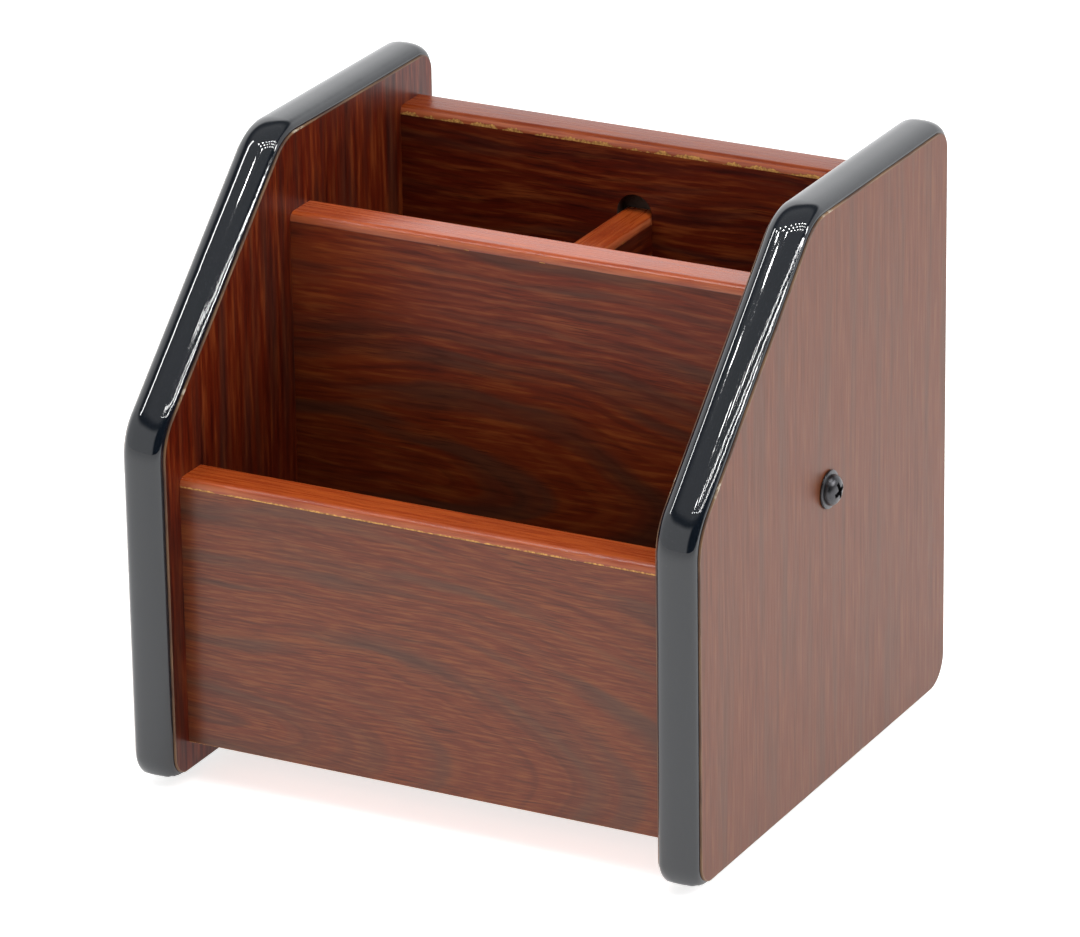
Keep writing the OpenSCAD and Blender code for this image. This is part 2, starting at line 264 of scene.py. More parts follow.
# How one laminate sheet differs from the next: tint and contrast act on the printed colours,
# streak and dash set the strength and the length and width in mm of the pale streaks, smoke
# the strength of the grey bands and hair that of the dark pores, and sheen the top coat.
# The tint of the inner, middle and outer looks is painted shade: the inner sheets are darker
# and redder where the pockets lie in shade, the outer sheets dimmer than the lit front sheet,
# and the middle front sheet redder, as the light deep in the front pocket.
FRONT_PRINT = {"tint_and_shade": (0.93, 1.0, 0.88), "contrast": 0.88, "streak": 0.65, "dash": (8, 0.45),
               "smoke": 0.7, "hair": 0.8, "sheen": 0.43}
OUTER_SHADED_PRINT = {"tint_and_shade": (0.75, 0.87, 0.85), "contrast": 0.40, "streak": 0.8, "dash": (14, 0.9),
               "smoke": 0.8, "hair": 0.35, "sheen": 0.23}
INNER_SHADED_PRINT = {"tint_and_shade": (0.66, 0.45, 0.40), "contrast": 1.25, "streak": 1.0, "dash": (16, 1.4),
               "smoke": 0.6, "hair": 0.8, "sheen": 0.25}
MIDDLE_SHADED_PRINT = {"tint_and_shade": (1.0, 0.82, 0.66), "contrast": 1.0, "streak": 0.7, "dash": (14, 1.0),
                "smoke": 0.7, "hair": 0.7, "sheen": 0.25}


def rosewood_laminate(name, along, across, seed, print_and_shade_look, figure=None):
    """Printed rosewood under satin melamine, with its grain along one axis (0, 1 or 2). The look's
    tint scales the printed colours; for the sheets in shade that tint is painted shade.

    figure is (start, centre, spread): past start along the grain the growth rings close
    round centre, and a smaller spread draws longer arches. Without it the grain is straight.
    """
    g = Graph(name)
    smoke, streak = print_and_shade_look["smoke"], print_and_shade_look["streak"]
    place = g.position()
    u, v = place[along], place[across]

    def stretched(length, width, offset, detail=3, roughness=0.55):
        return g.noise(g.math("MULTIPLY", u, 1 / length), g.math("MULTIPLY", v, 1 / width),
                       seed + offset, detail, roughness)

    # the fibres sway a little; the growth rings sway more and can close into arches
    slow = g.math("SUBTRACT", stretched(70, 30, 1, 1.5), 0.5)
    quick = g.math("SUBTRACT", stretched(14, 7, 2, 2), 0.5)
    wide = 10 if figure else 1.5
    sway = g.math("ADD", g.math("MULTIPLY", slow, wide), g.math("MULTIPLY", quick, 0.12 * wide))
    v = g.math("ADD", v, g.math("MULTIPLY", sway, 0.5))
    dash = stretched(*print_and_shade_look["dash"], 13, 3, 0.6)
    fibre = stretched(8, 0.24, 17, 2, 0.5)
    patch = stretched(40, 12, 19, 1)
    v = g.math("ADD", v, sway)
    if figure:
        start, centre, spread = figure
        reach = g.math("MULTIPLY", g.math("MAXIMUM", g.math("SUBTRACT", u, start), 0), spread)
        rise = g.math("SUBTRACT", v, centre)
        squares = g.math("ADD", g.math("MULTIPLY", reach, reach), g.math("MULTIPLY", rise, rise))
        v = g.math("SQRT", squares)
    flow = stretched(55, 4.2, 7, 2.5, 0.55)
    ring = stretched(90, 1.6, 11, 2, 0.5)

    # the printed colours times the look's tint, which is painted shade for the inner, middle and outer
    # sheets
    def printed(colour):
        return tuple(t * (m + print_and_shade_look["contrast"] * (c - m))
                     for t, c, m in zip(print_and_shade_look["tint_and_shade"], colour, ROSEWOOD_MEAN))

    red, orange, dark, grey = map(printed, (ROSEWOOD_RED, ROSEWOOD_ORANGE, ROSEWOOD_DARK, ROSEWOOD_GREY))
    colour = g.mix(g.spread(ring, 0.48, 0.68, 0.0, 0.25), red, orange)
    colour = g.mix(g.spread(dash, 0.50, 0.66, 0.0, streak), colour, orange)
    colour = g.mix(g.spread(flow, 0.48, 0.66, 0.0, smoke), colour, grey)
    colour = g.mix(g.spread(ring, 0.46, 0.34, 0.0, 0.5 * smoke), colour, dark)
    colour = g.mix(g.spread(dash, 0.45, 0.32, 0.0, 0.5), colour, dark)
    hair = g.math("MULTIPLY", g.spread(fibre, 0.44, 0.34), g.spread(patch, 0.40, 0.62, 0.2, 0.9))
    colour = g.mix(g.math("MULTIPLY", hair, print_and_shade_look["hair"]), colour, dark)

    # a few specks of dust
    spot = g.node("ShaderNodeTexCoord").outputs["Object"]
    cell = g.node("ShaderNodeTexVoronoi", {"Vector": spot, "Scale": DUST_CELLS}, feature="F1")
    chosen = g.node("ShaderNodeSeparateColor", {0: cell.outputs["Color"]}).outputs[0]
    near = g.math("LESS_THAN", cell.outputs["Distance"], 0.014)
    speck = g.math("MULTIPLY", near, g.math("GREATER_THAN", chosen, 0.55))
    colour = g.mix(speck, colour, (0.55, 0.45, 0.38))

    relief = g.math("ADD", g.math("MULTIPLY", fibre, 0.5), g.math("MULTIPLY", dash, 0.5))
    return g.finish({
        "Base Color": colour,
        "Roughness": g.spread(dash, 0.3, 0.7, 0.36, 0.28),
        "IOR": 1.44,
        "Specular IOR Level": print_and_shade_look["sheen"],
        "Normal": g.bump(relief, 0.00005, 0.5),
    })


def painted_edge(name, seed, strength, gloss=0.6, along=0):
    """Orange-brown edge paint on a routed board edge, with fine strokes along X (0) or Y (1)."""
    pale, deep, worn = ((0.380, 0.0700, 0.0105), (0.235, 0.0310, 0.0056), (0.17, 0.022, 0.006))
    pale, deep, worn = (tuple(c * strength for c in paint) for paint in (pale, deep, worn))
    g = Graph(name)
    place = g.position()
    u, v, z = place[along], place[1 - along], place[2]
    strokes = g.noise(g.math("MULTIPLY", u, 0.06), g.math("MULTIPLY", v, 1.1), seed, 4, 0.6)
    patches = g.noise(g.math("MULTIPLY", u, 0.05), g.math("MULTIPLY", v, 0.09), seed + 3, 3)
    colour = g.mix(g.spread(strokes, 0.35, 0.68), deep, pale)
    colour = g.mix(g.spread(patches, 0.52, 0.75, 0.0, 0.5), colour, worn)
    relief = g.noise(g.math("MULTIPLY", u, 0.3), g.math("MULTIPLY", v, 1.4), z, 3)
    return g.finish({
        "Base Color": colour,
        "Roughness": g.spread(strokes, 0.3, 0.7, 0.22, 0.34),
        "IOR": 1.48,
        "Specular IOR Level": gloss,
        "Normal": g.bump(relief, 0.00008, 0.5),
    })


def side_rim_material():
    """The cut edge of a side laminate: a fine tan line with a few pale chips."""
    g = Graph("side_rim")
    _, y, z = g.position()
    run = g.math("ADD", y, g.math("MULTIPLY", z, 0.8))
    slow = g.noise(g.math("MULTIPLY", run, 0.09), 3.0, 0.0, 2, 0.5)
    fine = g.speckle(1.1, 2, 0.6)
    colour = g.mix(g.spread(slow, 0.40, 0.62), (0.070, 0.026, 0.010), (0.160, 0.080, 0.032))
    chip = g.math("MULTIPLY", g.spread(slow, 0.62, 0.66), g.spread(fine, 0.48, 0.52))
    colour = g.mix(chip, colour, (0.42, 0.36, 0.27))
    return g.finish({"Base Color": colour, "Roughness": 0.5, "Normal": g.bump(fine, 0.0001, 0.4)})


def board_rim_material(name, seed, line, tall, cover, along=0):
    """Edge paint over a laminate's cut edge, rubbed through to ochre board in patches that
    start at the height line and rise up to tall; cover is how much of the length is bare.
    The paint is lighter and more peach than the edge paint, partly as a painted highlight on the
    round-over, and a thin dark line just above the height line is painted shade in the crease."""
    g = Graph(name)
    place = g.position()
    run, z = place[along], place[2]
    strokes = g.noise(g.math("MULTIPLY", run, 0.08), g.math("MULTIPLY", z, 1.4), seed, 3, 0.6)
    patches = g.noise(g.math("MULTIPLY", run, 0.20), seed, 0.0, 3, 0.55)
    fine = g.speckle(1.6, 2, 0.6)
    # the edge paint, made lighter and more peach here as a painted highlight on the round-over
    paint = g.mix(g.spread(strokes, 0.35, 0.68), (0.260, 0.046, 0.0140), (0.400, 0.105, 0.0360))
    rise = g.spread(patches, 0.62 - 0.3 * cover, 0.72 - 0.3 * cover, 0.0, tall)
    ragged = g.math("MULTIPLY", rise, g.spread(fine, 0.25, 0.6, 0.55, 1.0))
    above = g.math("SUBTRACT", z, line)
    bare = g.spread(g.math("SUBTRACT", ragged, above), 0.0, 0.06)
    ochre = g.mix(g.spread(fine, 0.35, 0.65), (0.230, 0.095, 0.018), (0.620, 0.310, 0.075))
    # painted shade: a thin dark line just above the height line, in the crease where the paint is not
    # rubbed through
    groove = g.spread(above, 0.12, 0.02, 0.0, 0.8)
    colour = g.mix(groove, g.mix(bare, paint, ochre), g.mix(bare, (0.02, 0.006, 0.004), ochre))
    return g.finish({
        "Base Color": colour,
        "Roughness": g.spread(bare, 0.0, 1.0, 0.30, 0.75),
        "IOR": 1.48,
        "Normal": g.bump(g.math("SUBTRACT", strokes, bare), 0.00008, 0.5),
    })


def black_lacquer():
    """Thick high-gloss black lacquer, a little uneven, with faint dust."""
    g = Graph("black_lacquer")
    waves = g.speckle(0.10, 2, 0.4)
    peel = g.speckle(0.9, 2, 0.5)
    dust = g.speckle(6.0, 2, 0.6)
    colour = g.mix(g.spread(dust, 0.66, 0.74, 0.0, 0.6), (0.0046, 0.0068, 0.0105), (0.08, 0.08, 0.09))
    normal = g.bump(waves, 0.0006, 0.10)
    return g.finish({
        "Base Color": colour,
        "Roughness": g.spread(peel, 0.3, 0.7, 0.03, 0.06),
        "IOR": 1.6,
        "Normal": g.bump(peel, 0.00005, 0.07, normal),
    })


def metal(name, colour, roughness, scratch):
    """Plated or blackened steel with fine handling marks."""
    g = Graph(name)
    marks = g.speckle(2.5, 4, 0.7)
    blotch = g.speckle(0.35)
    darker = tuple(c * 0.72 for c in colour)
    return g.finish({
        "Base Color": g.mix(g.spread(blotch, 0.35, 0.7), darker, colour),
        "Metallic": 1.0,
        "Roughness": g.spread(marks, 0.3, 0.7, roughness - scratch, roughness + scratch),
        "Normal": g.bump(marks, 0.00003, 0.4),
    })


def moulded(name, colour, roughness, grain, relief):
    """Moulded plastic or rubber with an even spark-eroded grain."""
    g = Graph(name)
    texture = g.speckle(grain, 2, 0.6)
    blotch = g.speckle(0.12, 3)
    lighter = tuple(c * 1.6 + 0.004 for c in colour)
    return g.finish({
        "Base Color": g.mix(g.spread(blotch, 0.4, 0.7), colour, lighter),
        "Roughness": g.spread(texture, 0.3, 0.7, roughness - 0.08, roughness + 0.08),
        "Normal": g.bump(texture, relief, 0.6),
    })


lacquer = black_lacquer()
edge_paint = painted_edge("edge_paint", 2.0, 1.2)
divider_paint = painted_edge("divider_paint", 9.0, 0.95, along=1)
back_paint = painted_edge("back_edge_paint", 15.0, 0.65, 0.2)
side_rim = side_rim_material()
# a very dark brown board colour, used on the groove faces and on the floor board
dark_board = moulded("dark_board", (0.045, 0.024, 0.014), 0.8, 1.6, 0.0002)
beech = moulded("beech", (0.50, 0.33, 0.17), 0.7, 2.0, 0.0001)
black_oxide = metal("black_oxide_steel", (0.075, 0.075, 0.08), 0.32, 0.08)
zinc = metal("zinc_plated_steel", (0.60, 0.61, 0.63), 0.30, 0.10)
polished_steel = metal("polished_steel", (0.78, 0.78, 0.80), 0.10, 0.04)
foot_plastic = moulded("foot_plastic", (0.012, 0.012, 0.013), 0.48, 3.0, 0.00006)
rubber = moulded("foot_rubber", (0.020, 0.020, 0.020), 0.75, 4.0, 0.00008)
nylon = moulded("cage_nylon", (0.62, 0.60, 0.52), 0.45, 2.5, 0.00004)

# ---- Side boards: lacquered core and its two laminates -----------------------------------

core_low, core_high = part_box("right_side_board")
skin_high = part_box("right_outer_laminate")[1]
SIDE_FOOT = core_low.z
SIDE_MIDDLE = (core_low.x + core_high.x) / 2
CORE_HALF = (core_high.x - core_low.x) / 2
LAMINATE_Y = skin_high.y
LAMINATE_TOP = skin_high.z - SIDE_FOOT
UPPER_KNEE_Y = -LAMINATE_Y + (LAMINATE_TOP - KNEE_HEIGHT) / math.tan(SLANT)

# corners as (y, z above the foot, radius, angle of the edge before it)
SIDE_CORNERS = [
    (-LAMINATE_Y, 0, FRONT_FOOT_RADIUS, math.pi),
    (LAMINATE_Y, 0, REAR_FOOT_RADIUS, 1.5 * math.pi),
    (LAMINATE_Y, LAMINATE_TOP, REAR_TOP_RADIUS, 2 * math.pi),
    (UPPER_KNEE_Y, LAMINATE_TOP, KNEE_RADIUS, 2.5 * math.pi),
    (-LAMINATE_Y, KNEE_HEIGHT, KNEE_RADIUS, 2.5 * math.pi + SLANT),
]


def unit(angle):
    return Vector((math.cos(angle), math.sin(angle)))


def corner_arcs(grow):
    """One arc of points for each corner of the side outline, grown outward by grow."""
    arcs = []
    for k, (y, z, radius, before) in enumerate(SIDE_CORNERS):
        after = SIDE_CORNERS[(k + 1) % len(SIDE_CORNERS)][3]
        if after < before:
            after += 2 * math.pi
        a, b = unit(before), unit(after)
        centre = Vector((y, z)) - radius * (a + b) / (1 + a.dot(b))
        turns = [before + (after - before) * i / ARC_STEPS for i in range(ARC_STEPS + 1)]
        arcs.append([centre + (radius + grow) * unit(t) for t in turns])
    return arcs


def straight_ends(arcs):
    """The two ends of each straight edge between one corner's arc and the next one's."""
    return [(arc[-1], arcs[(k + 1) % len(arcs)][0]) for k, arc in enumerate(arcs)]


# a straight edge is split the same way in every ring, so that the rings join point to point
EDGE_PARTS = [max(1, round((b - a).length / EDGE_STEP)) for a, b in straight_ends(corner_arcs(0))]


def side_outline(grow):
    """The side board's outline as (y, z) points, grown by grow but never below its foot."""
    arcs = corner_arcs(grow)
    points = []
    for arc, (start, end), parts in zip(arcs, straight_ends(arcs), EDGE_PARTS):
        points += arc
        points += [start.lerp(end, i / parts) for i in range(1, parts)]
    return [(p.x, SIDE_FOOT + max(p.y, 0)) for p in points]


def side_ring(x, grow):
    return [(x, y, z) for y, z in side_outline(grow)]


def lacquered_core(sign):
    """The board core with its crowned, lacquered edge."""
    rings = []
    steps = 28
    for k in range(steps + 1):
        a = math.pi * k / steps
        c = math.copysign(abs(math.cos(a)) ** (2 / CROWN_POWER), math.cos(a))
        grow = CROWN * math.sin(a) ** (2 / CROWN_POWER) if 0 < k < steps else 0
        rings.append(side_ring(sign * (SIDE_MIDDLE - CORE_HALF * c), grow))
    return loft(bmesh.new(), rings)


def side_laminate(x_glued, x_face):
    """A laminate sheet whose rim and fine bevel show its cut edge."""
    bevel = FINE_BEVEL if x_face > x_glued else -FINE_BEVEL
    rings = [
        side_ring(x_glued, 0),
        side_ring(x_face - bevel, 0),
        side_ring(x_face, -FINE_BEVEL),
        side_ring(x_face, -RIM_WIDTH),
    ]
    return loft(bmesh.new(), rings, 1)


for side, sign in (("left", -1), ("right", 1)):
    add_piece(f"{side}_lacquered_board", lacquered_core(sign), [lacquer], "caddy",
              [f"{side}_side_board"])
    outer_x, inner_x = sign * (SIDE_MIDDLE + CORE_HALF), sign * (SIDE_MIDDLE - CORE_HALF)
    outer = rosewood_laminate(f"{side}_outer_rosewood", 2, 1, 20.0 + 30 * sign, OUTER_SHADED_PRINT)
    inner = rosewood_laminate(f"{side}_inner_rosewood", 2, 1, 140.0 + 30 * sign, INNER_SHADED_PRINT)
    add_piece(f"{side}_outer_sheet", side_laminate(outer_x, outer_x + sign * SKIN), [outer, side_rim],
              "caddy", [f"{side}_outer_laminate"])
    add_piece(f"{side}_inner_sheet", side_laminate(inner_x, inner_x - sign * SKIN), [inner, side_rim],
              "caddy", [f"{side}_inner_laminate"])

# ---- Cross boards ---------------------------------------------------------------------------


# the angle above level up to which a laminate reaches round its board's upper edge
LAMINATE_END = math.degrees(math.acos(1 - SKIN / ROUND_OVER))


def section_loft(section, place, start, end, material_of=lambda p, q: 0):
    """Extrudes a closed section of (a, b) points from start to end, placed by place(a, b, s)."""
    rings = [[place(a, b, s) for a, b in section] for s in (start, end)]
    bm = bmesh.new()
    verts = [[bm.verts.new(p) for p in ring] for ring in rings]
    n = len(section)
    for i in range(n):
        j = (i + 1) % n
        face = bm.faces.new([verts[0][i], verts[0][j], verts[1][j], verts[1][i]])
        face.material_index = material_of(section[i], section[j])
    for ring in verts:
        bm.faces.new(ring)
    return bm


def round_over(half, top, start, end, steps=6):
    """Points on the round-over at +half between two angles in degrees above level."""
    turns = [math.radians(start + (end - start) * i / steps) for i in range(steps + 1)]
    return [(half - ROUND_OVER * (1 - math.cos(t)), top - ROUND_OVER * (1 - math.sin(t))) for t in turns]


def core_section(half, bottom, top):
    """A board core between its laminates, with both upper edges rounded over."""
    right = round_over(half, top, LAMINATE_END, 90)
    left = [(-a, b) for a, b in reversed(right)]
    inner = half - SKIN
    return [(-inner, bottom), (inner, bottom)] + right + left


def sheet_section(half, bottom, top, sign):
    """A laminate sheet on one side of a core, cut off along the round-over."""
    points = [(half - SKIN, bottom), (half - FINE_BEVEL, bottom), (half, bottom + FINE_BEVEL)]
    points += [(half, top - ROUND_OVER - RIM_WIDTH)] + round_over(half, top, 0, LAMINATE_END, 4)
    return [(sign * a, b) for a, b in points]


def sheet_material(half):
    """0 for the laminate's printed face, 1 for its cut edges and the rim under the paint."""

    def pick(p, q):
        flat = abs(abs(p[0]) - half) < 1e-7 and abs(abs(q[0]) - half) < 1e-7
        return 0 if flat and abs(p[1] - q[1]) > 2 * RIM_WIDTH else 1

    return pick


def groove_cutter(y0, y1):
    """The divider's groove: straight walls from the floor up and a half-round top."""
    low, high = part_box("divider_left_laminate")
    half = -low.x
    steps = 24
    arc = [math.pi * k / steps for k in range(steps + 1)]
    section = [(-half, low.z - MM), (half, low.z - MM)]
    section += [(half * math.cos(a), high.z + half * math.sin(a)) for a in arc]
    return section_loft(section, lambda a, b, s: (a, s, b), y0, y1)


def rim_line(top):
    """The height in millimetres where a board's printed face ends under its round-over."""
    return (top - ROUND_OVER - RIM_WIDTH) / MM


def upright_board(name, sheets, wear, seed, figure, paint, groove=None):
    """A cross board with its grain along X: a painted core and a laminate on each face.

    sheets holds the front and the rear laminate as (CAD node, print and shade look), wear is the
    rim's (tall, cover), and groove is (first y, last y, side): side 1 cuts the rear laminate and -1
    the front one.
    """
    low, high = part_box(name)
    middle = (low.y + high.y) / 2
    half = (high.y - low.y) / 2 + SKIN

    def place(a, b, s):
        return (s, middle + a, b)

    rim = board_rim_material(f"{name}_rim", seed, rim_line(high.z), *wear)
    core = section_loft(core_section(half, low.z, high.z), place, low.x, high.x)
    pieces = [add_piece(f"{name}_core", core, [paint], "caddy", [name])]
    for sign, (node, look) in zip((-1, 1), sheets):
        face = rosewood_laminate(f"{node}_rosewood", 0, 2, seed + 300.0 * sign, look, figure)
        sheet = section_loft(sheet_section(half, low.z, high.z, sign), place, low.x, high.x,
                             sheet_material(half))
        pieces.append(add_piece(f"{node}_sheet", sheet, [face, rim], "caddy",
                                [node]))
    if groove:
        first_y, last_y, side = groove
        core_piece, front, rear = pieces
        for piece in (core_piece, rear if side > 0 else front):
            cut(piece, groove_cutter(first_y, last_y), dark_board)


divider_low, divider_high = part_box("divider")
middle_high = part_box("middle_board")[1]
back_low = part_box("back_board")[0]
upright_board("front_board",
              (("front_board_outer_laminate", FRONT_PRINT), ("front_board_inner_laminate", INNER_SHADED_PRINT)),
              (0.36, 0.85), 303.0, (-45, 14, 0.30), edge_paint)
upright_board("middle_board",
              (("middle_board_front_laminate", MIDDLE_SHADED_PRINT), ("middle_board_rear_laminate", INNER_SHADED_PRINT)),
              (0.30, 0.1), 357.0, (-25, 52, 0.26), edge_paint,
              (divider_low.y, middle_high.y + MM, 1))
upright_board("back_board",
              (("back_board_front_laminate", INNER_SHADED_PRINT), ("back_board_rear_laminate", OUTER_SHADED_PRINT)),
              (0.85, 0.62), 381.0, (-20, 60, 0.2), back_paint,
              (back_low.y - MM, divider_high.y, -1))

# ---- Divider ---------------------------------------------------------------------------------


def divider_pieces():
    """The divider: a painted core and a laminate on each side."""
    low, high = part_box("divider")
    half = high.x + SKIN

    def place(a, b, s):
        return (a, s, b)

    rim = board_rim_material("divider_rim", 5.0, rim_line(high.z), 0.3, 0.1, along=1)
    core = section_loft(core_section(half, low.z, high.z), place, low.y, high.y)
    add_piece("divider_core", core, [divider_paint], "caddy", ["divider"])
    for sign, side in ((-1, "left"), (1, "right")):
        face = rosewood_laminate(f"divider_{side}_rosewood", 1, 2, 95.0 + sign, INNER_SHADED_PRINT)
        sheet = section_loft(sheet_section(half, low.z, high.z, sign), place, low.y, high.y,
                             sheet_material(half))
        add_piece(f"divider_{side}_sheet", sheet, [face, rim], "caddy",
                  [f"divider_{side}_laminate"])


divider_pieces()

# ---- Floor -----------------------------------------------------------------------------------


def plain_slab(low, high):
    bm = bmesh.new()
    box_mesh(bm, low, high)
    return bm


for node, seed in (("floor_top_laminate", 110.0), ("floor_bottom_laminate", 120.0)):
    face = rosewood_laminate(f"{node}_rosewood", 0, 1, seed, INNER_SHADED_PRINT)
    add_piece(f"{node}_sheet", plain_slab(*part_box(node)), [face], "caddy",
              [node])

# ---- Screws ------------------------------------------------------------------------------------


def phillips_cutter(arm, width, top, depth):
    """A tapered cross that sinks from top down by depth."""
    rings = []
    for z, scale in ((top + depth, 1.5), (top, 1.0), (top - depth * 0.75, 0.55), (top - depth, 0.2)):
        a, w = arm * scale, width * (0.5 + 0.5 * scale) / 2
        quarter = [(a, -w), (a, w), (w, w)]
        ring = []
        for turn in range(4):
            c, s = round(math.cos(turn * math.pi / 2)), round(math.sin(turn * math.pi / 2))
            ring += [(c * x - s * y, s * x + c * y, z) for x, y in quarter]
        rings.append(ring)
    return loft(bmesh.new(), rings)


def screw_head_mesh(head_r, head_h, flange, shank_r, length):
    """A pan head on a short flange, with a plain shank that ends in a point."""
    dome_r = head_r * (0.80 if flange else 0.97)
    flange_h = head_h * 0.26
    profile = [(0, -length), (shank_r, -length + 2 * shank_r), (shank_r, 0), (head_r * 0.96, 0)]
    profile += [(head_r, flange_h * 0.35), (head_r * 0.985, flange_h * 0.75), (dome_r * 1.03, flange_h)]
    steps = 10
    for k in range(steps + 1):
        a = math.pi / 2 * k / steps
        rise = math.sin(a) ** 0.8
        profile.append((dome_r * math.cos(a) ** 0.9, flange_h + (head_h - flange_h) * rise))
    profile[-1] = (0, head_h)
    return revolve(bmesh.new(), profile, 48)


def screws(name, places, head_r, head_h, flange, shank_r, length, material, body, node, turn):
    """Screws as one group; each place is a matrix that puts the head's underside on z = 0."""
    whole = bmesh.new()
    bm = screw_head_mesh(head_r, head_h, flange, shank_r, length)
    single = add_piece(name + "_blank", bm, [material], body)
    cut(single, phillips_cutter(head_r * 0.52, head_r * 0.26, head_h, head_h * 0.62))
    for k, place in enumerate(places):
        spun = place @ Matrix.Rotation(turn + 0.7 * k, 4, "Z")
        copy = single.data.copy()
        copy.transform(spun)
        whole.from_mesh(copy)
        bpy.data.meshes.remove(copy)
    bpy.data.objects.remove(single)
    add_piece(name, whole, [material], body, [node], SCREW_SHARP_ANGLE)


for side, sign in (("left", -1), ("right", 1)):
    node = f"{side}_side_screw"
    low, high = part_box(node)
    face_x = sign * (SIDE_MIDDLE + CORE_HALF + SKIN)
    head_r = (high.z - low.z) / 2
    head_h = max(abs(low.x), abs(high.x)) - abs(face_x)
    centre = Vector((face_x, (low.y + high.y) / 2, (low.z + high.z) / 2))
    place = Matrix.Translation(centre) @ Matrix.Rotation(sign * math.pi / 2, 4, "Y")
    screws(f"{node}_piece", [place], head_r, head_h, True, SIDE_SCREW_SHANK_R, SHOWN_SHANK, black_oxide,
           "caddy", node, 0.35)

# ---- Turntable ---------------------------------------------------------------------------------

foot_low, foot_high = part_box("foot_disc")
FOOT_R = foot_high.x


def foot_disc():
    """Moulded disc with a soft rim, a shallow recess underneath and an access hole."""
    z0, z1 = foot_low.z, foot_high.z
    recess_r, recess = 18 * MM, 0.5 * MM
    profile = [(0, z0 + recess), (recess_r, z0 + recess), (recess_r + recess, z0)]
    profile += [(FOOT_R, z0), (FOOT_R, z1), (0, z1)]
    profile = fillet(profile, {3: 1.0 * MM, 4: 1.0 * MM})
    piece = add_piece("foot_disc_piece", revolve(bmesh.new(), profile, 128), [foot_plastic], "foot",
                      ["foot_disc"])
    hole_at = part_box("top_plate_screws")[1].x - PLATE_SCREW_HEAD_R
    cutter = bmesh.new()
    where = Matrix.Translation((hole_at, hole_at, (z0 + z1) / 2))
    bmesh.ops.create_cone(cutter, cap_ends=True, segments=48, radius1=ACCESS_HOLE_R, radius2=ACCESS_HOLE_R,
                          depth=4 * (z1 - z0), matrix=where)
    cut(piece, cutter)


def foot_pads():
    """Four glued rubber pads with rounded rims."""
    low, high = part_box("foot_pads")
    circle_r = high.x - PAD_R
    profile = [(0, low.z), (PAD_R, low.z), (PAD_R, high.z), (0, high.z)]
    profile = fillet(profile, {1: 0.5 * MM, 2: 0.2 * MM})
    whole = bmesh.new()
    for k in range(4):
        pad = revolve(bmesh.new(), profile, 48)
        turn = Matrix.Rotation(k * math.pi / 2, 4, "Z") @ Matrix.Translation((circle_r, 0, 0))
        bmesh.ops.transform(pad, matrix=turn, verts=pad.verts)
        mesh = bpy.data.meshes.new("pad")
        pad.to_mesh(mesh)
        pad.free()
        whole.from_mesh(mesh)
        bpy.data.meshes.remove(mesh)
    add_piece("foot_pads_piece", whole, [rubber], "foot", ["foot_pads"])


foot_disc()
foot_pads()

# CAD nodes that keep their shape
KEPT = {
    "swivel_top_plate": zinc, "swivel_base_plate": zinc, "pivot_rivet": zinc,
    "top_plate_screws": zinc, "base_plate_screws": zinc, "ball_cage": nylon,
    "bearing_balls": polished_steel, "front_dowels": beech, "middle_dowels": beech,
    "back_dowels": beech, "floor_dowels": beech, "floor_board": dark_board,
}
for node, material in KEPT.items():
    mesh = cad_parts[node].data
    mesh.materials.clear()
    mesh.materials.append(material)

# ---- Floor, light and camera ---------------------------------------------------------------------

# the view: angles, then metres, and the lens in millimetres
CAMERA_AZIMUTH = math.radians(27.96)
CAMERA_ELEVATION = math.radians(21.73)
CAMERA_ROLL = math.radians(-0.90)
CAMERA_DISTANCE = 1.2777
CAMERA_TARGET = Vector((-0.00022, 0, 0.05294 + SIDE_FOOT))
CAMERA_LENS = 224.53

# the surroundings: radiances (REAR_WALL is a factor), where the dark opening is, the floor's half size
WALL_LIGHT = 1.08
REAR_WALL = 1.5
CEILING_LIGHT = 0.42
FLOOR_LIGHT = 0.72
OPENING_AZIMUTH = CAMERA_AZIMUTH + math.radians(32)
FLOOR_HALF = 4.0

# the lamp rows: height, distance between lamps and between rows
LAMP_HEIGHT = 0.45
LAMP_STEP = 0.052
ROW_STEP = 0.036


def pale_floor():
    """A level white floor that glows a little, as a lightbox does."""
    bm = bmesh.new()
    bmesh.ops.create_grid(bm, x_segments=1, y_segments=1, size=FLOOR_HALF)
    mesh = bpy.data.meshes.new("studio_floor")
    bm.to_mesh(mesh)
    bm.free()
    g = Graph("studio_floor")
    mesh.materials.append(g.finish({
        "Base Color": (0.86, 0.86, 0.86, 1),
        "Roughness": 0.7,
        "Emission Color": (1, 0.995, 0.985, 1),
        "Emission Strength": FLOOR_LIGHT,
    }))
    floor = bpy.data.objects.new("studio_floor", mesh)
    bpy.context.scene.collection.objects.link(floor)


def camera_axes():
    """Right, up and back unit vectors of the camera, without its roll."""
    a, e = CAMERA_AZIMUTH, CAMERA_ELEVATION
    back = Vector((math.sin(a) * math.cos(e), -math.cos(a) * math.cos(e), math.sin(e)))
    right = Vector((math.cos(a), math.sin(a), 0))
    return right, back.cross(right), back


def add_camera():
    right, up, back = camera_axes()
    c, s = math.cos(CAMERA_ROLL), math.sin(CAMERA_ROLL)
    turned_right, turned_up = c * right + s * up, -s * right + c * up
    camera = bpy.data.objects.new("camera", bpy.data.cameras.new("camera"))
    camera.data.lens = CAMERA_LENS
    camera.data.sensor_width = 36
    camera.data.clip_start = 0.05
    axes = Matrix((turned_right, turned_up, back)).transposed().to_4x4()
    camera.matrix_world = Matrix.Translation(CAMERA_TARGET + back * CAMERA_DISTANCE) @ axes
    bpy.context.scene.collection.objects.link(camera)
    bpy.context.scene.camera = camera


def studio_point(right_way, away, height):
    """A point from its distances along the picture's width, away from the camera, and up."""
    right, _, _ = camera_axes()
    back = Vector((-math.sin(CAMERA_AZIMUTH), math.cos(CAMERA_AZIMUTH), 0))
    return right * right_way + back * away + Vector((0, 0, height))


